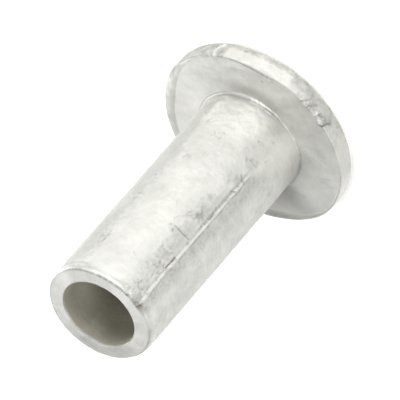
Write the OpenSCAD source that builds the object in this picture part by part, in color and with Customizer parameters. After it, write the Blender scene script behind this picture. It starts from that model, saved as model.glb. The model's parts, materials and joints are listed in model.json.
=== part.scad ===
// Hollow rivet, cold headed from aluminium wire: flat round head, straight shank, blind bore in the tail.
// The rivet stands on its head: the flat top of the head lies on z = 0, and the open tail points up.
// Angles round the axis start at -Y and grow towards +X.

/* [Shank] */
// Diameter of the shank
shank_d = 5; // [4:0.1:7.5]
// Length of the shank, from the underside of the head to the tail
shank_l = 12; // [9:0.5:40]
// Radius of the fillet where the shank meets the head
neck_fillet = 0.15; // [0.05:0.05:0.5]
// Length over which the tail is drawn in
tail_draw_l = 0.4; // [0.1:0.05:0.6]
// Radius of the curve that draws it in
tail_draw_r = 0.7; // [0.65:0.05:3]

/* [Head] */
// Diameter of the head
head_d = 9.1; // [7.5:0.1:14]
// Thickness of the head
head_t = 1.05; // [0.8:0.05:3]
// Radius of the rounded edge of the head's flat top
crown_round = 0.3; // [0.05:0.05:0.6]
// Radius of the rolled edge of the head's underside
rim_roll = 0.5; // [0.45:0.05:0.7]
// How far off centre the die rolled that edge, which leaves it crisp on one side
rim_roll_off = 0.2; // [0:0.05:0.2]
// Place of the crisp side round the axis
rim_crisp_at = -30; // [-180:1:180]

/* [Bore] */
// Diameter of the bore
bore_d = 3.4; // [2:0.1:4.2]
// Depth of the bore's straight wall, from the tail
bore_depth = 8; // [3:0.5:11]
// Full angle of the cone at the bottom of the bore
bore_cone = 118; // [90:1:150]
// Radius of the rounded mouth of the bore
mouth_round = 0.1; // [0.05:0.05:0.4]

/* [Marks left by heading] */
// Depth of the flat on the rim
rim_flat_depth = 0.15; // [0.05:0.05:0.4]
// Place of that flat round the axis
rim_flat_at = 23; // [-180:1:180]
// Width of the notch in the rim
notch_w = 0.3; // [0.1:0.05:0.6]
// Depth of the notch
notch_depth = 0.2; // [0.1:0.05:0.4]
// Height of the notch, down from the underside
notch_h = 0.5; // [0.2:0.05:0.7]
// Place of the notch round the axis
notch_at = -27; // [-180:1:180]

/* [Hidden] */
$fn = 96;
shank_r = shank_d / 2;
head_r = head_d / 2;
bore_r = bore_d / 2;
tail_z = head_t + shank_l;
bore_floor_z = tail_z - bore_depth;
cone_h = bore_r / tan(bore_cone / 2);
// Cutting blocks reach past the head by this much
spare = 1;
// The rolled edge's arc starts and ends this much outside the head, so that it meets both faces at an angle
roll_lap = 0.01;
aluminium = [0.86, 0.86, 0.84];

// What a radius takes off a square corner that sits at the origin, with the material towards -X and -Y
module corner(radius) {
    translate([-radius, -radius])
        difference() {
            square(radius);
            circle(radius);
        }
}

// Half of the long section, radius along X and height along Y
module section() {
    difference() {
        union() {
            square([head_r, head_t]);
            square([shank_r, tail_z]);
            translate([shank_r, head_t])
                rotate(180)
                    corner(neck_fillet);
        }
        translate([head_r, 0])
            mirror([0, 1])
                corner(crown_round);
        translate([shank_r - tail_draw_r, tail_z - tail_draw_l])
            difference() {
                square([tail_draw_r + spare, tail_draw_l + spare]);
                circle(tail_draw_r);
            }
        translate([bore_r, tail_z])
            mirror([1, 0])
                corner(mouth_round);
        translate([0, bore_floor_z])
            square([bore_r, bore_depth]);
        polygon([[0, bore_floor_z - cone_h], [bore_r, bore_floor_z], [0, bore_floor_z]]);
    }
}

// What the off-centre die took off the edge of the underside: a ring round an axis of its own
module rolled_edge() {
    rotate(rim_crisp_at)
        translate([0, -rim_roll_off, 0])
            rotate_extrude()
                translate([head_r + rim_roll_off - rim_roll + roll_lap, head_t - rim_roll + roll_lap])
                    difference() {
                        square(rim_roll + spare);
                        circle(rim_roll);
                    }
}

// Flat that the heading die pressed on the rim
module rim_flat() {
    rotate(rim_flat_at)
        translate([-head_r, rim_flat_depth - head_d, -spare])
            cube([head_d, head_r, head_t + 2 * spare]);
}

// Nick in the rim, open to the underside
module rim_notch() {
    rotate(notch_at)
        translate([-notch_w / 2, -head_r - spare, head_t - notch_h])
            cube([notch_w, spare + notch_depth, notch_h + spare]);
}

module rivet() {
    color(aluminium)
        difference() {
            rotate_extrude()
                section();
            rolled_edge();
            rim_flat();
            rim_notch();
        }
}

rivet();
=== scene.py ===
import bpy
import json
import math
from mathutils import Matrix, Vector, noise


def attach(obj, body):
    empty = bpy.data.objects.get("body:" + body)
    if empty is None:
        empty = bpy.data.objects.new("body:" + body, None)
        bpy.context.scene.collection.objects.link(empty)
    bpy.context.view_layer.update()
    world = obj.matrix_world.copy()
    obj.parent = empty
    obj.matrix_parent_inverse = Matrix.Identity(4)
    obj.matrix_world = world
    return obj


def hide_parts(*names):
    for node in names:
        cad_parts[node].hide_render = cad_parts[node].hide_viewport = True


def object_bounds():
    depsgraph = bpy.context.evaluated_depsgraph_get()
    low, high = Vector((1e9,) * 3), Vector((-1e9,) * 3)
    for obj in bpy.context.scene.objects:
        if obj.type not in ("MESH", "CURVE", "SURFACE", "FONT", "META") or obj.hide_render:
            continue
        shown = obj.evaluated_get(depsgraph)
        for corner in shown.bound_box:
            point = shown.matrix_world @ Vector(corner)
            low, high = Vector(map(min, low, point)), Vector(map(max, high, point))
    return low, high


# Looks of a hollow rivet, cold headed from aluminium wire. It stands on its head with the open tail up.
# Angles round the axis start at -Y, the photographed side, and grow towards +X. Lengths are in mm.
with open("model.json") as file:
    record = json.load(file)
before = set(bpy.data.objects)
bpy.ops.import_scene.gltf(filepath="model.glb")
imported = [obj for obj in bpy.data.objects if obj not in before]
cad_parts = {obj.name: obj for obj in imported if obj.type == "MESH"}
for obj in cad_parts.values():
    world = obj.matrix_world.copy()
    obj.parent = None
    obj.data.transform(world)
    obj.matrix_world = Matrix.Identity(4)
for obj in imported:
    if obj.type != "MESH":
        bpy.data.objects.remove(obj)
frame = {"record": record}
cadLow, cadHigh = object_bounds()
mm = 0.001
scene = bpy.context.scene

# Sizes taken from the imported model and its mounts
mounts = {m["name"]: m for m in frame["record"]["mounts"]}
shankRadius = mounts["shank"]["dims"]["r_mm"]
boreRadius = mounts["tail_bore"]["dims"]["r_mm"]
boreLength = mounts["tail_bore"]["dims"]["length_mm"]
seatHeight = mounts["head_seat"]["pos_m"][2] / mm
headRadius = cadHigh.x / mm
tailHeight = cadHigh.z / mm
print("frame: head %.2f mm, shank %.2f mm, tail at %.2f mm" % (headRadius * 2, shankRadius * 2, tailHeight))


def toLinear(hexColour):
    # sRGB hex to linear RGBA
    values = [int(hexColour[i:i + 2], 16) / 255 for i in (0, 2, 4)]
    return [v / 12.92 if v <= 0.04045 else ((v + 0.055) / 1.055) ** 2.4 for v in values] + [1.0]


def addNode(tree, kind, settings=(), links=()):
    # settings fill sockets or properties by name or socket number, links join outputs to sockets
    node = tree.nodes.new(kind)
    for key, value in dict(settings).items():
        if isinstance(key, int) or key in node.inputs:
            node.inputs[key].default_value = value
        else:
            setattr(node, key, value)
    for key, output in dict(links).items():
        tree.links.new(output, node.inputs[key])
    return node


def hat(x):
    # smooth bump: 1 at 0, 0 from 1 outwards
    return (1 - x * x) ** 2 if abs(x) < 1 else 0.0


def ramp(x, start, end):
    # smooth step from 0 at start to 1 at end
    t = min(max((x - start) / (end - start), 0.0), 1.0)
    return t * t * (3 - 2 * t)


def between(x, low, high, soft):
    # 1 inside a span, fading to 0 over soft outside it
    return ramp(x, low - soft, low) * (1 - ramp(x, high, high + soft))


def patches(angle, rows):
    # soft patches round the axis, added up: each row is strength, from, to and softness in degrees
    return sum(strength * between(angle, low, high, soft) for strength, low, high, soft in rows)


def layers(x, y, rows):
    # noises on a flat, added up: each row is strength, width, height and seed
    return sum(strength * noise.noise((x / wide, y / tall, seed)) for strength, wide, tall, seed in rows)


def wavers(x, rows):
    # noises along a line, added up: each row is strength, width and seed
    return sum(strength * noise.noise((x / wide, seed, 0)) for strength, wide, seed in rows)


def roundLayers(angle, radius, along, rows):
    # noises round the axis without a seam at the back, added up: each row is strength and width
    a = math.radians(angle)
    x, y = math.sin(a) * radius, -math.cos(a) * radius
    return sum(strength * noise.noise((x / wide, y / wide, along / wide)) for strength, wide in rows)


def curls(x, y, wide, seed, spread=0.0):
    # thin wandering lines, in patches: they lie where a slow noise crosses zero
    patch = ramp(noise.noise((x / wide / 2.5, y / wide / 2.5, seed + 0.5)) + spread, 0.0, 0.3)
    return patch * hat(noise.noise((x / wide, y / wide, seed)) / 0.2)


# Section of the rivet: edges, and rows of points along each stretch. Spans round the axis are in degrees
section = {
    "mouthRound": 0.07,
    "coneAngle": 118,
    "landFall": 0.08,                 # the tail's flat end falls this much towards its outer edge
    "tailIn": 0.14,                   # the tail's outer edge is drawn in this much
    "tailLong": 0.42,                 # over this length
    "tailDent": 0.2,                  # and this much further on the near side
    "tailDentAt": 14,
    "tailDentHalf": 60,
    "tailSoft": 0.1,                  # radius of that edge on the far side
    "tailSoftAt": 150,
    "tailSoftFades": (45, 95),
    "neckFillet": 0.16,
    "neckFlare": 0.05,                # the shank widens this much just above the head
    "flareLong": 0.55,
    "plainNeck": (-130, -14, 16),     # on the right the shank meets the head more plainly
    "plainFillet": 0.4,               # with this share less of the fillet
    "plainFlare": 0.9,                # and this share less of the flare
    "crownRound": 0.28,
    "rimCrisp": 0.07,                 # radius of the edge under the head on the near side
    "rimRolled": 0.48,                # and on the far side, where the die rolled it over
    "rolledLeft": (62, 112),
    "rolledRight": (80, 135),
    "rolledWide": 0.45,               # the roll is wider than it is high by this share
    "rows": {"cone": 6, "bore": 16, "mouth": 6, "land": 12, "tailEdge": 14, "shank": 262, "neck": 10,
             "underside": 26, "rimEdge": 9, "rim": 18, "crownEdge": 9, "top": 12},
}
# Columns of points round the axis: from, to and step in degrees, closest where the marks are
columns = [(-36, 8, 0.4), (8, 46, 1.2), (46, 56, 0.5), (56, 104, 2.0), (104, 324, 3.5)]
# Part of the rim that the die pressed nearly flat
rimFlat = {"at": 23.0, "halfAngle": 27.0, "depth": 0.17, "depthAtTop": 0.08, "chamfer": 0.1}


def sectionLine(zone, start, end):
    steps = section["rows"][zone]
    length = math.dist(start, end)
    normal = (-(end[1] - start[1]) / length, (end[0] - start[0]) / length)
    for i in range(steps):
        u = i / steps
        yield zone, u, start[0] + (end[0] - start[0]) * u, start[1] + (end[1] - start[1]) * u, normal


def sectionArc(zone, centre, across, along, fromAngle, toAngle, hollow=False):
    # quarter of an ellipse, or of a circle where both radii are the same
    steps = section["rows"][zone]
    sign = -1 if hollow else 1
    for i in range(steps):
        a = math.radians(fromAngle + (toAngle - fromAngle) * i / steps)
        c, s = math.cos(a), math.sin(a)
        length = math.hypot(c / across, s / along)
        normal = (sign * c / across / length, sign * s / along / length)
        yield zone, i / steps, centre[0] + across * c, centre[1] + along * s, normal


def sectionPoints(angle):
    # from the cone's tip in the bore, over the tail, down the shank and round the head to the top's middle
    s = section
    mouth, crown = s["mouthRound"], s["crownRound"]
    neck = s["neckFillet"] * (1 - s["plainFillet"] * between(angle, *s["plainNeck"]))
    far = 1 - ramp(abs((angle - s["tailSoftAt"] + 180) % 360 - 180), *s["tailSoftFades"])
    tailIn = s["tailIn"] + (s["tailSoft"] - s["tailIn"]) * far
    tailIn += s["tailDent"] * hat((angle - s["tailDentAt"]) / s["tailDentHalf"])
    tailLong = s["tailLong"] + (s["tailSoft"] - s["tailLong"]) * far
    pressed = hat((angle - rimFlat["at"]) / rimFlat["halfAngle"])
    rolled = max(ramp(angle, *s["rolledLeft"]), ramp(-angle, *s["rolledRight"]))
    rim = s["rimCrisp"] + (s["rimRolled"] - s["rimCrisp"]) * rolled + rimFlat["chamfer"] * pressed
    across = rim * (1 + s["rolledWide"] * rolled)
    edge = headRadius - rimFlat["depth"] * pressed
    top = headRadius - rimFlat["depthAtTop"] * pressed
    boreFloor = tailHeight - mouth - boreLength
    tip = boreFloor - boreRadius / math.tan(math.radians(s["coneAngle"] / 2))
    shoulder = tailHeight - s["landFall"]
    rows = list(sectionLine("cone", (0, tip), (boreRadius, boreFloor)))
    rows += sectionLine("bore", (boreRadius, boreFloor), (boreRadius, tailHeight - mouth))
    rows += sectionArc("mouth", (boreRadius + mouth, tailHeight - mouth), mouth, mouth, 180, 90)
    rows += sectionLine("land", (boreRadius + mouth, tailHeight), (shankRadius - tailIn, shoulder))
    rows += sectionArc("tailEdge", (shankRadius - tailIn, shoulder - tailLong), tailIn, tailLong, 90, 0)
    rows += sectionLine("shank", (shankRadius, shoulder - tailLong), (shankRadius, seatHeight + neck))
    rows += sectionArc("neck", (shankRadius + neck, seatHeight + neck), neck, neck, 180, 270, hollow=True)
    rows += sectionLine("underside", (shankRadius + neck, seatHeight), (edge - across, seatHeight))
    rows += sectionArc("rimEdge", (edge - across, seatHeight - rim), across, rim, 90, 0)
    rows += sectionLine("rim", (edge, seatHeight - rim), (top, crown))
    rows += sectionArc("crownEdge", (top - crown, crown), crown, crown, 0, -90)
    rows += sectionLine("top", (top - crown, 0), (0, 0))
    rows.append(("top", 1.0, 0, 0, (0, -1)))
    return rows


# Line that the two halves of the die left along the shank. Stretches are mm from the tail
dieLine = {
    "at": -22.3, "atTail": -24.8, "settles": 1.2,
    "length": 9.6, "fades": 1.5,
    "height": 0.05, "heightVaries": [(0.5, 0.4, 7.0)],
    "halfWidth": 0.085, "widerByTail": 0.5, "widerUntil": 1.6, "widthVaries": [(0.35, 0.5, 6.0)],
    "reach": 0.4,                     # nothing of it lies further to the side than this
    # torn strip along its left side, beaded in the middle of its length
    "torn": [(1, 0.35, 8.0), (0.4, 0.1, 8.5)], "tornFrom": (0.0, 0.45),
    "middle": (5.0, 8.6, 0.6), "beads": [(0.9, 0.11, 10.0)], "wanders": [(0.04, 0.12, 9.5)],
    "stripOff": 0.04, "stripHalf": 0.065, "stripWider": 0.05, "stripLeast": 0.25, "stripMiddle": 0.7,
    "stripDepth": 0.02, "stripSoil": 0.26, "beadSoil": 0.2,
    # thin dark line along its right side
    "darkOff": 0.02, "darkHalf": 0.05, "darkSoil": 0.3,
    "darkVaries": [(1, 0.6, 8.8)], "darkFrom": (-0.3, 0.2),
}


def dieLineAngle(fromTail):
    d = dieLine
    return d["at"] + (d["atTail"] - d["at"]) * (1 - ramp(fromTail, 0, d["settles"]))


def dieLineSurface(across, fromTail):
    # push, soil and the ridge's share at a point across mm to the side of the line
    d = dieLine
    there = 1 - ramp(fromTail, d["length"] - d["fades"], d["length"])
    wider = d["widerByTail"] * (1 - ramp(fromTail, 0, d["widerUntil"])) + wavers(fromTail, d["widthVaries"])
    half = d["halfWidth"] * (1 + wider)
    ridge = there * hat(across / half)
    torn = ramp(wavers(fromTail, d["torn"]), *d["tornFrom"])
    middle = between(fromTail, *d["middle"])
    strip = d["stripLeast"] + (1 - d["stripLeast"]) * max(torn, d["stripMiddle"] * middle)
    strip *= there * (1 + middle * wavers(fromTail, d["beads"]))
    off = across - half - d["stripOff"] - wavers(fromTail, d["wanders"])
    strip *= hat(off / (d["stripHalf"] + d["stripWider"] * max(torn, middle)))
    dark = there * hat((across + half + d["darkOff"]) / d["darkHalf"])
    dark *= ramp(wavers(fromTail, d["darkVaries"]), *d["darkFrom"])
    push = d["height"] * (1 + wavers(fromTail, d["heightVaries"])) * ridge - d["stripDepth"] * strip
    soil = d["darkSoil"] * dark + (d["stripSoil"] + d["beadSoil"] * middle) * strip
    return push, soil, ridge


# Dull, dragged metal on the shank: a ragged band on the left of the die line, and calmer fields beyond it
shankScuff = {
    "depth": 0.012, "rough": [(1, 0.12, 0.16, 5.0)],
    # the band's left border in degrees: by the tail, by the head and where it moves between them
    "edge": 4.0, "edgeByHead": -9.0, "edgeMoves": (5.0, 8.5), "edgeInAtTail": 8, "edgeSettles": (0.3, 1.8),
    "edgeSoft": 17, "ragged": [(9, 0.5, 0.6, 1.0), (8, 0.18, 0.2, 2.0)],
    "band": 0.62, "bandVaries": [(0.3, 0.8, 0.9, 4.0)], "bandEnds": (9.2, 10.8),
    "lighter": 0.28, "lighterFrom": (13, 18),
    # right of the die line, where the border softens past the line's end
    "right": 0.3, "rightVaries": [(0.24, 0.45, 0.5, 4.5), (0.22, 0.15, 0.18, 4.5)],
    "byLine": 0.42, "byLineFrom": (-42, -32), "rightFrom": -95, "rightSoft": 12,
    "lineSoft": 24, "lineSoftens": (8.6, 9.8),
    "left": 0.5, "leftFrom": (46, 62), "leftEnds": (100, 140),
    "blotches": [(9, 0.4, 0.6, 3.0), (7, 0.15, 0.15, 3.0)],
    "back": 0.42, "backVaries": [(0.14, 0.55), (0.26, 0.22)], "backLeft": (95, 130), "backRight": (90, 115),
}


def shankScuffAt(angle, fromTail):
    s = shankScuff
    arc = math.radians(angle) * shankRadius
    line = dieLineAngle(fromTail)
    edge = s["edge"] + (s["edgeByHead"] - s["edge"]) * ramp(fromTail, *s["edgeMoves"])
    edge -= s["edgeInAtTail"] * (1 - ramp(fromTail, *s["edgeSettles"]))
    ragged = layers(arc, fromTail, s["ragged"])
    band = s["band"] + layers(arc, fromTail, s["bandVaries"])
    band -= s["lighter"] * ramp(-angle, *s["lighterFrom"])
    band *= ramp(edge + ragged - angle, 0, s["edgeSoft"]) * ramp(angle, line - 1, line)
    band *= 1 - ramp(fromTail, *s["bandEnds"])
    right = s["right"] + layers(arc, fromTail, s["rightVaries"])
    right += s["byLine"] * ramp(angle, *s["byLineFrom"])
    right *= between(angle + ragged, s["rightFrom"], line, s["rightSoft"])
    right *= ramp(line - angle, 0, 1 + s["lineSoft"] * ramp(fromTail, *s["lineSoftens"]))
    left = s["left"] * ramp(angle + layers(arc, fromTail, s["blotches"]), *s["leftFrom"])
    left *= 1 - ramp(angle, *s["leftEnds"])
    back = s["back"] + roundLayers(angle, shankRadius, fromTail, s["backVaries"])
    back = max(back, 0.0) * max(ramp(angle, *s["backLeft"]), ramp(-angle, *s["backRight"]))
    return band + max(right, 0.0) + left + back


# Single scratches and pits. Places are pairs: degrees round the axis, and mm from the tail
shankCuts = {
    "scratches": [
        {"path": [(-19.3, 2.3), (-20.0, 3.05)], "width": 0.055, "depth": 0.03, "soil": 0.85},
        {"path": [(-21.2, 5.7), (-19.8, 6.1)], "width": 0.06, "depth": 0.03, "soil": 0.6},
        {"path": [(-24.5, 8.3), (-19.0, 8.4), (-16.0, 8.5)], "width": 0.06, "depth": 0.03, "soil": 0.5},
        {"path": [(-22.0, 7.65), (-19.0, 7.55)], "width": 0.06, "depth": 0.04, "soil": 0.7},
        {"path": [(3, 4.3), (6, 4.45), (3, 4.7), (-4, 5.1), (-10, 5.5), (-17, 6.3)],
         "width": 0.05, "depth": 0.02, "soil": 0.12},
        {"path": [(0, 4.18), (-9, 4.13), (-18, 4.17)], "width": 0.055, "depth": 0.03, "soil": 0.75},
        {"path": [(-33, 4.45), (-40, 4.55)], "width": 0.05, "depth": 0.02, "soil": 0.2},
        {"path": [(-43, 6.9), (-48, 7.05)], "width": 0.05, "depth": 0.02, "soil": 0.2},
    ],
    "share": 0.9, "varies": [(0.5, 0.15, 0.15, 9.0)],
    # degrees, mm from the tail and radius
    "pits": [(25, 9.7, 0.09), (-7, 10.4, 0.07), (-38, 4.5, 0.06), (-44, 2.5, 0.07), (48, 3.4, 0.06),
             (55, 6.3, 0.07)],
    "pitDepth": 0.03, "pitSoil": 0.4,
}


def cutAt(arc, fromTail):
    # depth and soil of the scratches and pits at a point
    deepest, soil = 0.0, 0.0
    for cut in shankCuts["scratches"]:
        points = [(math.radians(a) * shankRadius, t) for a, t in cut["path"]]
        for (x0, y0), (x1, y1) in zip(points, points[1:]):
            dx, dy = x1 - x0, y1 - y0
            k = ((arc - x0) * dx + (fromTail - y0) * dy) / (dx * dx + dy * dy)
            k = min(max(k, 0.0), 1.0)
            away = math.hypot(arc - x0 - dx * k, fromTail - y0 - dy * k)
            shape = hat(away / cut["width"])
            if shape > 0:
                shape *= shankCuts["share"] + layers(arc, fromTail, shankCuts["varies"])
                deepest = max(deepest, cut["depth"] * shape)
                soil = max(soil, cut["soil"] * shape)
    for angle, t, radius in shankCuts["pits"]:
        shape = hat(math.hypot(arc - math.radians(angle) * shankRadius, fromTail - t) / radius)
        deepest = max(deepest, shankCuts["pitDepth"] * shape)
        soil = max(soil, shankCuts["pitSoil"] * shape)
    return deepest, soil


# Fine marks of dragging beside the die line, thickest by the tail
dragMarks = {
    "near": 60, "byTail": (2.8, 3.8),
    "long": {"wide": 0.36, "seed": 12.0, "spread": 0.25, "from": (-23, -20), "perScuff": 1.8,
             "moreByTail": 0.4, "depth": 0.016, "soil": 0.38},
    "stray": {"wide": 0.3, "seed": 15.0, "where": [(1, 0.7, 0.7, 17.0)], "from": (0.25, 0.45), "soil": 0.2},
    "small": {"wide": 0.14, "seed": 31.0, "spread": 0.25, "span": (-21, -4, 5),
              "where": [(1, 0.22, 0.22, 32.0)], "from": (-0.25, 0.25), "depth": 0.014, "soil": 0.5},
    "crests": {"wide": 0.18, "seed": 35.0, "spread": 0.3, "span": (-21, -2, 5),
               "height": 0.012, "clean": 0.9},
    "lumps": {"span": (-25, -4, 4), "ends": (0.5, 0.8), "shape": [(1, 0.16, 0.2, 33.0)], "height": 0.035},
}


def dragAt(angle, fromTail, scuff):
    # push, soil and how far the crests are rubbed clean
    arc = math.radians(angle) * shankRadius
    byTail = 1 - ramp(fromTail, *dragMarks["byTail"])
    m = dragMarks["long"]
    drag = curls(arc, fromTail, m["wide"], m["seed"], m["spread"] * byTail) * ramp(angle, *m["from"])
    drag *= min(scuff * m["perScuff"], 1.0) * (1 + m["moreByTail"] * byTail)
    push, soil = -m["depth"] * drag, m["soil"] * drag
    m = dragMarks["stray"]
    stray = curls(arc, fromTail, m["wide"], m["seed"]) * ramp(layers(arc, fromTail, m["where"]), *m["from"])
    soil = max(soil, m["soil"] * stray)
    m = dragMarks["small"]
    small = curls(arc, fromTail, m["wide"], m["seed"], m["spread"]) * byTail * between(angle, *m["span"])
    small *= ramp(layers(arc, fromTail, m["where"]), *m["from"])
    push -= m["depth"] * small
    soil = max(soil, m["soil"] * small)
    m = dragMarks["lumps"]
    lump = between(angle, *m["span"]) * (1 - ramp(fromTail, *m["ends"]))
    push += m["height"] * lump * max(layers(arc, fromTail, m["shape"]), 0.0)
    m = dragMarks["crests"]
    crest = curls(arc, fromTail, m["wide"], m["seed"], m["spread"]) * byTail * between(angle, *m["span"])
    push += m["height"] * crest
    return push, soil, m["clean"] * crest


def shankMarks(angle, fromTail):
    arc = math.radians(angle) * shankRadius
    scuff = shankScuffAt(angle, fromTail)
    push = shankScuff["depth"] * scuff * layers(arc, fromTail, shankScuff["rough"])
    soil = 0.0
    across = math.radians(angle - dieLineAngle(fromTail)) * shankRadius
    if abs(across) < dieLine["reach"]:
        more, soil, ridge = dieLineSurface(across, fromTail)
        push += more
        scuff *= 1 - ridge
    if abs(angle) < dragMarks["near"]:
        depth, dirt = cutAt(arc, fromTail)
        more, dragged, clean = dragAt(angle, fromTail, scuff)
        push += more - depth
        soil = max(soil, dirt, dragged)
        scuff *= 1 - clean
    return push, soil, scuff


# Shank just above the head: painted light over it, where the head would shade it, and painted shade in the
# corner. Heights are above the fillet
shankFoot = {
    "soil": [(0.24, 2, 38, 10)], "soilUpTo": 0.3,
    "bright": [(0.85, 4, 52, 12)], "brightFrom": (0.15, 0.5), "brightEnds": (0.3, 3.0),
    "brightRight": [(0.3, -78, -8, 12)], "brightRightEnds": (0.5, 2.8),
    "scuffGone": 0.5,                 # strength of painted light that leaves no dulling
}


def neckFlareAt(angle):
    return section["neckFlare"] * (1 - section["plainFlare"] * between(angle, *section["plainNeck"]))


def shankSurface(u, radius, z, angle, push):
    s = shankFoot
    more, soil, scuff = shankMarks(angle, tailHeight - z)
    above = z - seatHeight - section["neckFillet"]
    push += more + neckFlareAt(angle) * (1 - ramp(above, 0, section["flareLong"])) ** 2
    # painted shade in the corner by the head
    soil = max(soil, patches(angle, s["soil"]) * (1 - ramp(above, 0, s["soilUpTo"])))
    # painted light on the shank near the head, on the left and on the right
    burnish = patches(angle, s["bright"]) * ramp(above, *s["brightFrom"])
    burnish *= 1 - ramp(above, *s["brightEnds"])
    burnish += patches(angle, s["brightRight"]) * (1 - ramp(above, *s["brightRightEnds"]))
    scuff *= 1 - ramp(burnish, 0.0, s["scuffGone"])
    return push, soil, scuff, 0.0, burnish


# Tail: sheared a little out of square, with a dark line in the edge on the near side that is part dirt and
# part painted shade, painted light on the edge's right, a painted highlight along its near side, and a
# smudge by the die line.
# Places across the edge and the flat end are shares, from the bore outwards
tail = {
    "highAt": 135.0, "rise": 0.16, "over": 1.6,
    "grime": [(0.65, -26, 62, 15)], "grimeAt": 0.1, "grimeHalf": 0.26, "grimeShare": 0.75,
    "grimeVaries": [(0.7, 6, 3.0), (0.4, 1.5, 3.0)],
    "smudge": 0.75, "smudgeAt": -24, "smudgeHalf": 17, "smudgeEnds": (0.3, 1.0),
    "smudgeShare": 0.8, "smudgeVaries": [(0.6, 2, 0.25, 3.5)],
    # two faint dark lines on the left, which move outwards with the angle
    "lines": [(0.25, 48, 72, 6)], "linesAt": (0.25, 0.6), "lineHalf": 0.09, "lineClimb": 0.004,
    "bright": [(0.2, -115, -60, 20), (0.5, -118, -75, 10)],
    "brightStrip": [(0.5, 5, 45, 8)], "stripSpan": (0.3, 0.4, 0.12),
    "dull": [(0.25, 0, 50, 8)], "dullAt": 0.7, "dullHalf": 0.35,
    # flat end: painted shade in two spans and painted light on its right, with a speck on its right
    "endDull": [(0.4, 15, 62, 15), (0.3, -170, -118, 18)], "endBright": [(0.35, -95, -72, 10)],
    "speckAt": -97, "speckRadius": 2.31, "speckSize": 0.09, "speckSoil": 0.5,
    "endSmudge": 0.6, "endSmudgeAt": -26, "endSmudgeHalf": 15, "endSmudgeFrom": (0.7, 0.95),
}


def tailEdgeSurface(u, radius, z, angle, push):
    t = tail
    more, soil, scuff = shankMarks(angle, tailHeight - z)
    # dark line in the near edge, part dirt and part painted shade
    grime = max(t["grimeShare"] + wavers(angle, t["grimeVaries"]), 0)
    grime *= patches(angle, t["grime"]) * hat((u - t["grimeAt"]) / t["grimeHalf"])
    smudge = t["smudge"] * hat((angle - t["smudgeAt"]) / t["smudgeHalf"]) * (1 - ramp(u, *t["smudgeEnds"]))
    smudge *= t["smudgeShare"] + layers(angle, u, t["smudgeVaries"])
    lines = sum(hat((u - place - t["lineClimb"] * angle) / t["lineHalf"]) for place in t["linesAt"])
    soil = max(soil, grime, smudge, lines * patches(angle, t["lines"]))
    scuff = max(scuff, patches(angle, t["dull"]) * hat((u - t["dullAt"]) / t["dullHalf"]))
    # painted light on the edge's right, and a painted highlight strip along its near side
    burnish = patches(angle, t["bright"]) + patches(angle, t["brightStrip"]) * between(u, *t["stripSpan"])
    return push + more, soil, scuff, 0.0, burnish


def tailEndSurface(u, radius, z, angle, push):
    t = tail
    along = math.radians(angle - t["speckAt"]) * radius
    soil = t["speckSoil"] * hat(math.hypot(along, radius - t["speckRadius"]) / t["speckSize"])
    smudge = t["endSmudge"] * hat((angle - t["endSmudgeAt"]) / t["endSmudgeHalf"])
    smudge *= ramp(u, *t["endSmudgeFrom"])
    # painted shade and painted light on the flat end
    return push, max(soil, smudge), patches(angle, t["endDull"]), 0.0, patches(angle, t["endBright"])


# Bore: a pale matt film inside that wears off over the rounded mouth, with painted shade on the far walls
# near the mouth
bore = {
    "soil": [(0.22, 115, 172, 15), (0.25, -150, -95, 18)], "soilEnds": (0.8, 1.6),
    "filmEnds": (0.1, 0.45), "scuffFrom": (0.1, 0.4), "mouthSoil": 0.07,
}


def boreSurface(u, radius, z, angle, push):
    # painted shade on the walls that the lamps light through the mouth
    soil = patches(angle, bore["soil"]) * (1 - ramp(tailHeight - z, *bore["soilEnds"]))
    return push, soil, 0.0, 1.0, 0.0


def mouthSurface(u, radius, z, angle, push):
    return push, bore["mouthSoil"], ramp(u, *bore["scuffFrom"]), 1 - ramp(u, *bore["filmEnds"]), 0.0


# Neck: an uneven raised ring on the near side with a ragged arc of painted highlight, painted shade in the
# corner, and the fillet dulled on the left and right as painted shade over its highlight; plainer on the
# right
neckMarks = {
    "flareEnds": (0, 0.8),
    "ring": [(0.03, -8, 24, 5)], "ringAt": 0.2, "ringHalf": 0.5,
    "ringShare": 0.75, "ringVaries": [(0.6, 9, 5.0), (0.5, 2.6, 5.0)],
    "crescent": [(1, -8, 24, 6)], "crescentAt": 0.7, "crescentHalf": 0.35,
    "crescentVaries": [(0.3, 2.2, 5.5), (0.2, 0.8, 5.5)],
    "bright": 0.8, "brightVaries": [(1, 2.4, 6.5)], "brightFrom": (-0.25, 0.3),
    "dull": [(0.5, 50, 150, 12)],
    "worn": [(0.8, -75, -6, 8)], "wornShare": 0.75, "wornVaries": [(0.6, 7, 5.8)], "wornFrom": (0.2, 0.5),
    "soil": [(0.1, 2, 140, 10), (0.1, 2, 30, 8)],
    "cornerSoil": [(0.16, 58, 140, 10)], "cornerFrom": (0.4, 0.8),
}


def neckSurface(u, radius, z, angle, push):
    n = neckMarks
    push += neckFlareAt(angle) * (1 - ramp(u, *n["flareEnds"]))
    uneven = n["ringShare"] + wavers(angle, n["ringVaries"])
    push += patches(angle, n["ring"]) * uneven * hat((u - n["ringAt"]) / n["ringHalf"])
    ragged = n["crescentAt"] + wavers(angle, n["crescentVaries"])
    crescent = patches(angle, n["crescent"]) * hat((u - ragged) / n["crescentHalf"])
    # painted highlight along the ragged arc
    burnish = n["bright"] * crescent * ramp(wavers(angle, n["brightVaries"]), *n["brightFrom"])
    worn = patches(angle, n["worn"]) * (n["wornShare"] + wavers(angle, n["wornVaries"]))
    # duller metal painted over the fillet's highlight on the left and right, as shade
    scuff = patches(angle, n["dull"]) + worn * ramp(u, *n["wornFrom"])
    # painted shade in the corner between shank and head
    soil = patches(angle, n["soil"]) * (1 - crescent)
    soil += patches(angle, n["cornerSoil"]) * ramp(u, *n["cornerFrom"])
    return push, soil, scuff, 0.0, burnish
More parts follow.
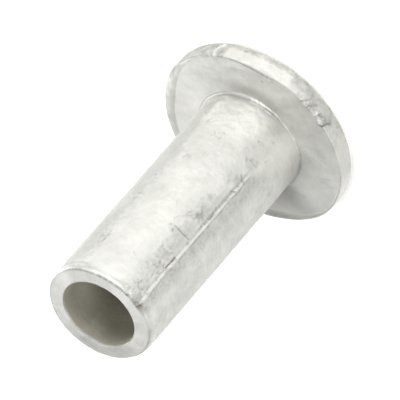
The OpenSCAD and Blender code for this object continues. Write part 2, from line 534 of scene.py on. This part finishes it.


# Underside of the head: painted shade in a band by the neck, over the near side and on the right, deepest on
# the far right by the shank, painted light on the left, a speck, faint streaks, and a burr on its edge
underside = {
    "band": [(0.28, 3, 42, 14)], "bandRadius": 2.9, "bandHalf": 0.5,
    "soil": [(0.1, -20, 45, 30), (0.09, -112, -75, 12)],
    "shade": 0.05, "shadeAt": 20, "shadeHalf": 18,
    "curlSoil": 0.03, "curlWide": 0.6, "curlSeed": 21.0,
    "far": [(1, -170, -112, 22)], "farSoil": 0.26, "farByNeck": 0.25, "farNeckWide": 1.4,
    "speckAt": 19.0, "speckRadius": 3.89, "speckSize": 0.1, "speckSoil": 0.7,
    "bright": [(0.3, 85, 145, 15)],
    # the burr stops short at its right end, and the edge dips beyond its left end
    "burr": 0.12, "burrFrom": (12.4, 13.8), "burrEnds": (14, 32), "burrInner": 0.55, "burrOuter": 0.2,
    "dip": 0.08, "dipAt": 36, "dipHalf": 14,
}


def burrAt(angle):
    h = underside
    burr = h["burr"] * ramp(angle, *h["burrFrom"]) * (1 - ramp(angle, *h["burrEnds"]))
    return burr - h["dip"] * hat((angle - h["dipAt"]) / h["dipHalf"])


def undersideSurface(u, radius, z, angle, push):
    h = underside
    a = math.radians(angle)
    neck = shankRadius + section["neckFillet"]
    # painted shade in a band by the neck, where the shank shades the corner
    soil = patches(angle, h["band"]) * hat((radius - h["bandRadius"]) / h["bandHalf"])
    # painted shade over the near side and on the right
    soil += patches(angle, h["soil"]) + h["shade"] * hat((angle - h["shadeAt"]) / h["shadeHalf"])
    soil += h["curlSoil"] * curls(math.sin(a) * radius, math.cos(a) * radius, h["curlWide"], h["curlSeed"])
    # painted shade on the far right, deepest by the neck where the shank's shadow falls
    byNeck = 1 - ramp(radius, neck, neck + h["farNeckWide"])
    soil += patches(angle, h["far"]) * (h["farSoil"] + h["farByNeck"] * byNeck)
    along = math.radians(angle - h["speckAt"]) * h["speckRadius"]
    speck = h["speckSoil"] * hat(math.hypot(along, radius - h["speckRadius"]) / h["speckSize"])
    push += burrAt(angle) * ramp(radius, headRadius - h["burrInner"], headRadius - h["burrOuter"])
    # the last patches are painted light on the left side
    return push, max(soil, speck), 0.0, 0.0, patches(angle, h["bright"])


# Torn flash along the rim: tongues of metal with crumpled metal between them, and a notch at its end, with
# painted shadow behind the tongues' tips, in the folds and in the notch.
# Heights on the rim are shares, from the crown's edge to the underside
flash = {
    # each tongue: from and to in degrees, how far it stands out and what share of the rim's height it covers
    "tongues": [(2, -3.5, 0.03, 0.4), (-1.5, -6.5, 0.07, 0.55), (-4.0, -11.0, 0.1, 0.65),
                (-10.0, -14.0, 0.05, 0.45), (-12.0, -18.0, 0.09, 0.65), (-15.5, -23.7, 0.15, 0.9)],
    "slant": 5.5,                     # degrees that the tongues lean over the height of the rim
    # how their sides wander: strength and width in degrees, swings over the rim's height
    "warps": [(1.6, 2.5, 3), (0.8, 0.9, 7)], "warpSeed": 90,
    "ragged": 0.12, "raggedWide": 1.5, "raggedSeed": 50, "fullFrom": 0.4,
    "lipLong": 0.15,                  # a tongue drops off over this share of its length
    "creaseAt": 1.12, "creaseHalf": 0.2, "creaseSoil": 6, "creaseMost": 0.5,
    "crumpled": [(1, -23, -4, 3)], "crumpledFrom": (0.3, 0.6), "crumpledHeight": 0.035, "crumpledIn": 0.12,
    "lumpWide": 0.36, "lumpTall": 0.26, "lumpLean": 0.45, "lumpSeed": 11.0,
    "fineLumps": [(0.35, 0.13, 0.14, 11.5)],
    "foldSoil": 0.3, "foldHalf": 0.13,
}
notch = {"at": -24.4, "slant": 2.4, "slantOver": (0.0, 0.6), "halfAngle": 0.7, "depth": 0.07, "soil": 0.3,
         "least": 0.8, "wider": 0.9, "widerFrom": (0.45, 0.75), "varies": 0.5, "swings": 6, "seed": 2.0,
         "from": (0.12, 0.3)}
# Ridge at the other end of the rim's flat, bent like a hook
step = {"at": 50.5, "halfAngle": 1.8, "height": 0.06, "hook": 2.2, "hookAt": 0.45, "hookHalf": 0.6,
        "lean": 1.2, "leanOver": (0.4, 1.0)}
rimWear = {"where": [(1, 53, 120, 4), (0.5, -120, -34, 10)], "depth": 0.016, "shape": [(1, 0.35, 0.35, 4.0)]}


def upRim(z):
    return min(max((z - section["crownRound"]) / (seatHeight - section["crownRound"]), 0.0), 1.0)


def stepRidge(angle, up):
    middle = step["at"] + step["hook"] * hat((up - step["hookAt"]) / step["hookHalf"])
    middle -= step["lean"] * ramp(1 - up, *step["leanOver"])
    return hat((angle - middle) / step["halfAngle"])


def tongueAt(angle, up, start, end, lift, cover):
    # how far a tongue stands out, and the painted shadow in the hollow behind its tip
    f = flash
    warp = sum(strength * noise.noise((angle / wide, up * swings, lift * f["warpSeed"]))
               for strength, wide, swings in f["warps"])
    along = (start - f["slant"] * (1 - up) + warp - angle) / (start - end)
    if along <= 0 or along > f["creaseAt"] + f["creaseHalf"]:
        return 0.0, 0.0
    ragged = wavers(angle, [(f["ragged"], f["raggedWide"], lift * f["raggedSeed"])])
    low = ramp(up + ragged, 1 - cover, 1 - f["fullFrom"] * cover)
    rise = along ** 2 if along < 1 else max(0.0, 1 - (along - 1) / f["lipLong"])
    crease = min(f["creaseSoil"] * lift, f["creaseMost"]) * hat((along - f["creaseAt"]) / f["creaseHalf"])
    return lift * rise * low, crease * low


def notchAt(angle, up):
    n = notch
    wide = n["least"] + n["wider"] * ramp(1 - up, *n["widerFrom"])
    wide += n["varies"] * noise.noise((up * n["swings"], n["seed"], 0))
    off = angle - n["at"] + n["slant"] * ramp(1 - up, *n["slantOver"])
    return hat(off / (n["halfAngle"] * wide)) * ramp(up, *n["from"])


def rimMarks(angle, z):
    # push, and painted shadow behind the tongues, in the folds and in the notch, on the side of the head
    f = flash
    up = upRim(z)
    arc = math.radians(angle) * headRadius
    tongues = [tongueAt(angle, up, *tongue) for tongue in f["tongues"]]
    push = max(lift for lift, crease in tongues)
    soil = max(crease for lift, crease in tongues)
    lump = noise.noise((arc / f["lumpWide"] + z / f["lumpLean"], z / f["lumpTall"], f["lumpSeed"]))
    lump += layers(arc, z, f["fineLumps"])
    crumpled = patches(angle, f["crumpled"]) * ramp(up, *f["crumpledFrom"])
    gap = notchAt(angle, up)
    push += f["crumpledHeight"] * crumpled * (abs(lump) - f["crumpledIn"]) - notch["depth"] * gap
    push += step["height"] * stepRidge(angle, up)
    push += rimWear["depth"] * patches(angle, rimWear["where"]) * layers(arc, z, rimWear["shape"])
    # painted shadow in the folds of the crumpled metal and in the notch
    soil = max(soil, f["foldSoil"] * crumpled * hat(lump / f["foldHalf"]), notch["soil"] * gap)
    return push, soil


# Dull parts of the rim: painted shade along the crown, and dull metal round the rolled side, over the torn
# flash, by the notch and step
rimDull = {
    "patchy": [(0.8, 0.4), (0.5, 0.14)],
    "side": [(0.75, 51, 150, 3)], "far": 0.55, "farLeft": (140, 160), "farRight": (115, 140),
    "torn": [(0.65, -24, 3, 3)], "tornLess": 0.7, "tornLessFrom": (0.6, 0.8),
    "byNotch": [(0.45, -38, -24, 18)], "byNotchFrom": (20, 24),
    "crown": [(0.68, -30, 56, 20)], "border": 0.46, "borderSoft": 0.1,
    "borderVaries": [(0.1, 0.25, 8.0), (0.06, 0.08, 8.0)],
    "byStep": [(0.7, 46.5, 51, 1.5)],
}


def rimScuffAndShade(angle, z):
    d = rimDull
    side = patches(angle, d["side"]) + d["far"] * (ramp(angle, *d["farLeft"]) + ramp(-angle, *d["farRight"]))
    torn = patches(angle, d["torn"]) * (1 - d["tornLess"] * ramp(z, *d["tornLessFrom"]))
    torn += patches(angle, d["byNotch"]) * ramp(-angle, *d["byNotchFrom"])
    border = d["border"] + wavers(math.radians(angle) * headRadius, d["borderVaries"])
    # painted shade along the crown, where the floor's shadow would fall on it
    crown = patches(angle, d["crown"]) * ramp(border - z, 0.0, d["borderSoft"])
    patchy = 1 + roundLayers(angle, headRadius, z, d["patchy"])
    return max(side, torn, crown, patches(angle, d["byStep"])) * patchy * (1 - stepRidge(angle, upRim(z)))


# Edges of the rim: painted shade in the groove under the flat, on the rolled left and on the far right, less
# dulling on the rolled side, and painted light on the right and along the crown
rimEdges = {
    "bright": [(0.35, -110, -72, 12)], "crownBright": 0.8, "crownFrom": (0.1, 0.6), "topEnds": (0.0, 0.3),
    "crease": [(0.3, -2, 66, 4), (0.12, 13.5, 42, 1)], "creaseAt": 0.35, "creaseHalf": 0.45,
    "jags": [(0.22, 8, 40, 6)], "jagShare": 0.6, "jagVaries": [(0.9, 1.3, 13.0)],
    "far": [(0.3, -170, -112, 22)], "farEnds": (0.3, 0.9),
    "dim": [(1, 60, 92, 8)], "dimSoil": 0.34, "dimFrom": (0.1, 0.6),
    "dimVaries": 0.3, "dimWide": 5, "dimSwings": 3, "dimSeed": 14.0,
    "softer": [(0.45, 62, 150, 10)], "softerEnds": (0.1, 0.7),
}


def rimSurface(u, radius, z, angle, push):
    more, soil = rimMarks(angle, z)
    # painted light on the rim's right side
    return push + more, soil, rimScuffAndShade(angle, z), 0.0, patches(angle, rimEdges["bright"])


def rimEdgeSurface(u, radius, z, angle, push):
    e = rimEdges
    push, soil, scuff, film, burnish = rimSurface(u, radius, z, angle, push)
    jags = max(e["jagShare"] + wavers(angle, e["jagVaries"]), 0) * patches(angle, e["jags"])
    # painted shade in the groove under the flat
    crease = (patches(angle, e["crease"]) + jags) * hat((u - e["creaseAt"]) / e["creaseHalf"])
    # painted shade on the far right
    far = patches(angle, e["far"]) * (1 - ramp(u, *e["farEnds"]))
    # painted shade over the rolled left edge's highlight
    uneven = noise.noise((angle / e["dimWide"], u * e["dimSwings"], e["dimSeed"]))
    dim = e["dimSoil"] + e["dimVaries"] * uneven
    dim *= patches(angle, e["dim"]) * ramp(u, *e["dimFrom"])
    scuff *= 1 - patches(angle, e["softer"]) * (1 - ramp(u, *e["softerEnds"]))
    return push + burrAt(angle) * (1 - u), max(soil, crease, far, dim), scuff, film, burnish


def crownEdgeSurface(u, radius, z, angle, push):
    e = rimEdges
    more, soil = rimMarks(angle, z)
    push += more * (1 - u)
    push -= (push + abs(push)) * u  # only dents are left towards the top
    # painted light along the crown's edge
    burnish = max(patches(angle, e["bright"]), e["crownBright"] * ramp(u, *e["crownFrom"]))
    return push, soil, rimScuffAndShade(angle, z) * (1 - burnish), 0.0, burnish


def topSurface(u, radius, z, angle, push):
    # dents go in, so that the head stands flat; the painted light from the crown's edge runs onto the top
    return -abs(push), 0.0, 0.0, 0.0, rimEdges["crownBright"] * (1 - ramp(u, *rimEdges["topEnds"]))


# What shapes and colours each stretch of the section. Every function takes the share of the stretch, radius,
# height, angle and push so far, and gives the push along the normal, dirt with painted shade, dulling with
# painted shade, film and painted light
zoneSurface = {
    "cone": boreSurface, "bore": boreSurface, "mouth": mouthSurface, "land": tailEndSurface,
    "tailEdge": tailEdgeSurface, "shank": shankSurface, "neck": neckSurface, "underside": undersideSurface,
    "rimEdge": rimEdgeSurface, "rim": rimSurface, "crownEdge": crownEdgeSurface, "top": topSurface,
}
# Shallow dents that tumbling left all over
tumbling = {"dentWide": 0.55, "dentDeep": 0.01, "fineWide": 0.2, "fineDeep": 0.005}


def columnAngles():
    angles = []
    for start, end, spacing in columns:
        count = round((end - start) / spacing)
        angles += [start + (end - start) * i / count for i in range(count)]
    return [a if a <= 180 else a - 360 for a in angles]


def rivetPoint(zone, u, radius, z, normal, angle):
    # place of a point, and its dirt with painted shade, dulling with painted shade, film and painted light
    # there
    a = math.radians(angle)
    outX, outY = math.sin(a), -math.cos(a)
    plain = Vector((outX * radius, outY * radius, z))
    push = tumbling["dentDeep"] * noise.noise(plain / tumbling["dentWide"])
    push += tumbling["fineDeep"] * noise.noise(plain / tumbling["fineWide"])
    push, soil, scuff, film, burnish = zoneSurface[zone](u, radius, z, angle, push)
    r, h = radius + normal[0] * push, z + normal[1] * push
    lean = (1 + math.cos(a - math.radians(tail["highAt"])) * radius / shankRadius) / 2
    h += tail["rise"] * lean * ramp(z, tailHeight - tail["over"], tailHeight)
    return (outX * r * mm, outY * r * mm, h * mm), soil, scuff, film, burnish


def buildRivet():
    angles = columnAngles()
    sections = [sectionPoints(angle) for angle in angles]
    rowCount, count = len(sections[0]), len(angles)
    points, faces = [], []
    for row in range(rowCount):
        if row in (0, rowCount - 1):
            points.append(((0, 0, sections[0][row][3] * mm), 0.0, 0.0, 1.0 if row == 0 else 0.0, 0.0))
        else:
            points += [rivetPoint(*sections[k][row], angles[k]) for k in range(count)]
    for row in range(rowCount - 1):
        a, b = max(1 + (row - 1) * count, 0), 1 + row * count
        for k in range(count):
            n = (k + 1) % count
            if row == 0:
                faces.append((a, b + n, b + k))
            elif row == rowCount - 2:
                faces.append((a + k, a + n, b))
            else:
                faces.append((a + k, a + n, b + n, b + k))
    mesh = bpy.data.meshes.new("rivet_skin")
    mesh.from_pydata([p[0] for p in points], [], faces)
    mesh.validate()
    mesh.polygons.foreach_set("use_smooth", [True] * len(mesh.polygons))
    for i, name in ((1, "soil"), (2, "scuff"), (3, "film"), (4, "burnish")):
        mesh.attributes.new(name, "FLOAT", "POINT").data.foreach_set("value", [p[i] for p in points])
    body = bpy.data.objects.new("rivet_skin", mesh)
    scene.collection.objects.link(body)
    print("rivet: %d rows, %d columns, %d triangles" % (rowCount, count, sum(len(f) - 2 for f in faces)))
    return body


# Aluminium, cold headed and tumbled: a pale satin metal with a soft highlight that breaks up on fine dents,
# paler where light is painted on, duller where it was dragged through the die and where shade is painted,
# dark where dirt stays in cuts and where shade is painted in corners and grooves, and matt under a pale film
# in the bore. The real grain is too fine to show, so it is drawn coarser here
aluminium = {
    "pale": "DCDCD8", "dull": "C7C7C3", "burnished": "F2F1EC", "scuffed": "A4A4A0", "filmed": "AEAB9D",
    "soiled": "4A463C",
    "smooth": 0.5, "rough": 0.64,
    "coveredMetal": 0.1,              # how metallic full dirt with painted shade, or full film, still is
    "cloudWide": 1.3, "cloudFrom": 0.35, "cloudTo": 0.65,
    "fleckWide": 0.16, "fleckFrom": 0.38, "fleckTo": 0.66, "fleckLeast": 0.55,
    "dentWide": 0.3, "dentDeep": 0.026,
    "grainWide": 0.09, "grainLong": 2.0, "grainDeep": 0.012, "grainLeast": 0.35,
}


def aluminiumMaterial():
    a = aluminium
    material = bpy.data.materials.new("cold_headed_aluminium")
    material.use_nodes = True
    tree = material.node_tree
    shader = tree.nodes["Principled BSDF"]
    place = addNode(tree, "ShaderNodeTexCoord").outputs["Object"]
    # this attribute holds real dirt in cuts, pits and smudges, and painted shade in corners, grooves, the
    # notch and the shadowed parts of the head
    soil = addNode(tree, "ShaderNodeAttribute", {"attribute_name": "soil"}).outputs["Fac"]
    # this attribute holds real dull, dragged metal, and painted shade over highlights on the neck, along the
    # crown and on the tail's end
    scuff = addNode(tree, "ShaderNodeAttribute", {"attribute_name": "scuff"}).outputs["Fac"]
    film = addNode(tree, "ShaderNodeAttribute", {"attribute_name": "film"}).outputs["Fac"]
    # this attribute holds painted light and painted highlights, mixed in as a paler tone
    burnish = addNode(tree, "ShaderNodeAttribute", {"attribute_name": "burnish"}).outputs["Fac"]
    # colour: clouds of paler and duller metal, then each kind of wear, painted light and painted shade over
    # the one before
    cloud = addNode(tree, "ShaderNodeTexNoise",
                    {"Scale": 1 / (a["cloudWide"] * mm), "Detail": 6.0, "Roughness": 0.75},
                    {"Vector": place}).outputs["Fac"]
    patch = addNode(tree, "ShaderNodeMapRange", {"From Min": a["cloudFrom"], "From Max": a["cloudTo"]},
                    {"Value": cloud}).outputs[0]
    metal = addNode(tree, "ShaderNodeMix",
                    {"data_type": "RGBA", 6: toLinear(a["dull"]), 7: toLinear(a["pale"])},
                    {0: patch}).outputs[2]
    rubbed = addNode(tree, "ShaderNodeMix", {"data_type": "RGBA", 7: toLinear(a["burnished"])},
                     {0: burnish, 6: metal}).outputs[2]
    fleck = addNode(tree, "ShaderNodeTexNoise",
                    {"Scale": 1 / (a["fleckWide"] * mm), "Detail": 3.0, "Roughness": 0.7},
                    {"Vector": place}).outputs["Fac"]
    flecks = addNode(tree, "ShaderNodeMapRange",
                     {"From Min": a["fleckFrom"], "From Max": a["fleckTo"], "To Min": a["fleckLeast"]},
                     {"Value": fleck}).outputs[0]
    dragged = addNode(tree, "ShaderNodeMath", {"operation": "MULTIPLY"}, {0: flecks, 1: scuff}).outputs[0]
    worn = addNode(tree, "ShaderNodeMix", {"data_type": "RGBA", 7: toLinear(a["scuffed"])},
                   {0: dragged, 6: rubbed}).outputs[2]
    filmed = addNode(tree, "ShaderNodeMix", {"data_type": "RGBA", 7: toLinear(a["filmed"])},
                     {0: film, 6: worn}).outputs[2]
    dirty = addNode(tree, "ShaderNodeMix", {"data_type": "RGBA", 7: toLinear(a["soiled"])},
                    {0: soil, 6: filmed}).outputs[2]
    tree.links.new(dirty, shader.inputs["Base Color"])
    covered = addNode(tree, "ShaderNodeMath", {"operation": "MAXIMUM"}, {0: soil, 1: film}).outputs[0]
    bare = addNode(tree, "ShaderNodeMapRange", {"To Min": 1.0, "To Max": a["coveredMetal"]},
                   {"Value": covered}).outputs[0]
    tree.links.new(bare, shader.inputs["Metallic"])
    rough = addNode(tree, "ShaderNodeMapRange", {"To Min": a["smooth"], "To Max": a["rough"]},
                    {"Value": patch}).outputs[0]
    tree.links.new(rough, shader.inputs["Roughness"])
    # relief: soft dents, and the grain of drawing, which runs along the shank and is strongest where scuffed
    dents = addNode(tree, "ShaderNodeTexNoise", {"Scale": 1 / (a["dentWide"] * mm), "Detail": 2.0},
                    {"Vector": place}).outputs["Fac"]
    dented = addNode(tree, "ShaderNodeBump", {"Strength": 1.0, "Distance": a["dentDeep"] * mm},
                     {"Height": dents}).outputs["Normal"]
    drawn = addNode(tree, "ShaderNodeMapping", {"Scale": (1, 1, 1 / a["grainLong"])},
                    {"Vector": place}).outputs["Vector"]
    grain = addNode(tree, "ShaderNodeTexNoise", {"Scale": 1 / (a["grainWide"] * mm), "Detail": 2.0},
                    {"Vector": drawn}).outputs["Fac"]
    strength = addNode(tree, "ShaderNodeMapRange", {"To Min": a["grainLeast"], "To Max": 1.0},
                       {"Value": scuff}).outputs[0]
    grained = addNode(tree, "ShaderNodeBump", {"Distance": a["grainDeep"] * mm},
                      {"Height": grain, "Strength": strength, "Normal": dented}).outputs["Normal"]
    tree.links.new(grained, shader.inputs["Normal"])
    print("aluminium: %d nodes" % len(tree.nodes))
    return material


rivet = buildRivet()
rivet.data.materials.append(aluminiumMaterial())
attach(rivet, "root")
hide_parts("rivet")

# Photograph's view: distances in mm, angles in degrees
view = {"aim": (-0.05, 0.0, 5.2), "distance": 254.6, "elevation": 36.28, "roll": 139.0,
        "lens": 538.3, "sensor": 36.0, "near": 10.0, "far": 3000.0}


def addCamera():
    camera = bpy.data.objects.new("camera", bpy.data.cameras.new("camera"))
    scene.collection.objects.link(camera)
    rise = math.radians(view["elevation"])
    back = Vector((0, -math.cos(rise), math.sin(rise)))
    spot = (Vector(view["aim"]) + back * view["distance"]) * mm
    turn = (-back).to_track_quat("-Z", "Y").to_matrix().to_4x4()
    roll = Matrix.Rotation(math.radians(-view["roll"]), 4, "Z")
    camera.matrix_world = Matrix.Translation(spot) @ turn @ roll
    camera.data.lens = view["lens"]
    camera.data.sensor_width = view["sensor"]
    camera.data.clip_start = view["near"] * mm
    camera.data.clip_end = view["far"] * mm
    scene.camera = camera


# Studio: white paper floor, soft lamps all round and an even pale surround
studio = {"floorHalf": 600.0, "paper": "FAFAF8", "paperRough": 0.9, "surround": 0.25, "floorGlow": 0.12}
# Directions in degrees (azimuth from -Y towards +X), sizes and distances in mm, power in watts
lamps = {
    "topSoftbox": {"azimuth": 60, "elevation": 72, "distance": 260, "size": 150, "power": 0.31},
    "lowFront": {"azimuth": 30, "elevation": 5, "distance": 260, "size": 150, "power": 0.45},
    "lowLeft": {"azimuth": 120, "elevation": 5, "distance": 260, "size": 150, "power": 0.46},
    "rightFill": {"azimuth": -60, "elevation": 35, "distance": 260, "size": 150, "power": 0.35},
    "backLeft": {"azimuth": 150, "elevation": 20, "distance": 260, "size": 150, "power": 0.15},
    "backFill": {"azimuth": -175, "elevation": 54, "distance": 260, "size": 150, "power": 0.115},
}


def paperMaterial():
    # matt paper: it glows a little to the camera and in reflections, so it reads as white and takes a shadow
    paper = bpy.data.materials.new("matt_white_paper")
    paper.use_nodes = True
    tree = paper.node_tree
    shader = tree.nodes["Principled BSDF"]
    shader.inputs["Base Color"].default_value = toLinear(studio["paper"])
    shader.inputs["Roughness"].default_value = studio["paperRough"]
    shader.inputs["Specular IOR Level"].default_value = 0.0
    shader.inputs["Emission Color"].default_value = (1, 1, 1, 1)
    path = addNode(tree, "ShaderNodeLightPath").outputs
    direct = addNode(tree, "ShaderNodeMath", {"operation": "ADD"},
                     {0: path["Is Camera Ray"], 1: path["Is Glossy Ray"]}).outputs[0]
    seen = addNode(tree, "ShaderNodeMath", {"operation": "ADD", "use_clamp": True},
                   {0: direct, 1: path["Is Transmission Ray"]}).outputs[0]
    glow = addNode(tree, "ShaderNodeMath", {"operation": "MULTIPLY", 1: studio["floorGlow"]},
                   {0: seen}).outputs[0]
    tree.links.new(glow, shader.inputs["Emission Strength"])
    return paper


def addFloor():
    half = studio["floorHalf"] * mm
    corners = [(-half, -half, 0), (half, -half, 0), (half, half, 0), (-half, half, 0)]
    mesh = bpy.data.meshes.new("paper_floor")
    mesh.from_pydata(corners, [], [(0, 1, 2, 3)])
    mesh.materials.append(paperMaterial())
    floor = bpy.data.objects.new("paper_floor", mesh)
    scene.collection.objects.link(floor)


def aimAtRivet(light, spot):
    # stands a lamp off in the direction that its settings give, turned to the middle of the rivet
    a, e = math.radians(spot["azimuth"]), math.radians(spot["elevation"])
    toward = Vector((math.sin(a) * math.cos(e), -math.cos(a) * math.cos(e), math.sin(e)))
    place = toward * spot["distance"] * mm + Vector((0, 0, tailHeight / 2 * mm))
    turn = (-toward).to_track_quat("-Z", "Y").to_matrix().to_4x4()
    light.matrix_world = Matrix.Translation(place) @ turn
    light.visible_camera = False


def addStudio():
    addFloor()
    world = bpy.data.worlds.new("surround")
    world.use_nodes = True
    background = world.node_tree.nodes["Background"]
    background.inputs["Color"].default_value = (1, 1, 1, 1)
    background.inputs["Strength"].default_value = studio["surround"]
    scene.world = world
    for name, lamp in lamps.items():
        data = bpy.data.lights.new(name, "AREA")
        data.shape = "DISK"
        data.size = lamp["size"] * mm
        data.energy = lamp["power"]
        light = bpy.data.objects.new(name, data)
        scene.collection.objects.link(light)
        aimAtRivet(light, lamp)


addCamera()
addStudio()
scene.view_settings.view_transform = "Standard"
print("studio: %d lamps" % len(lamps))
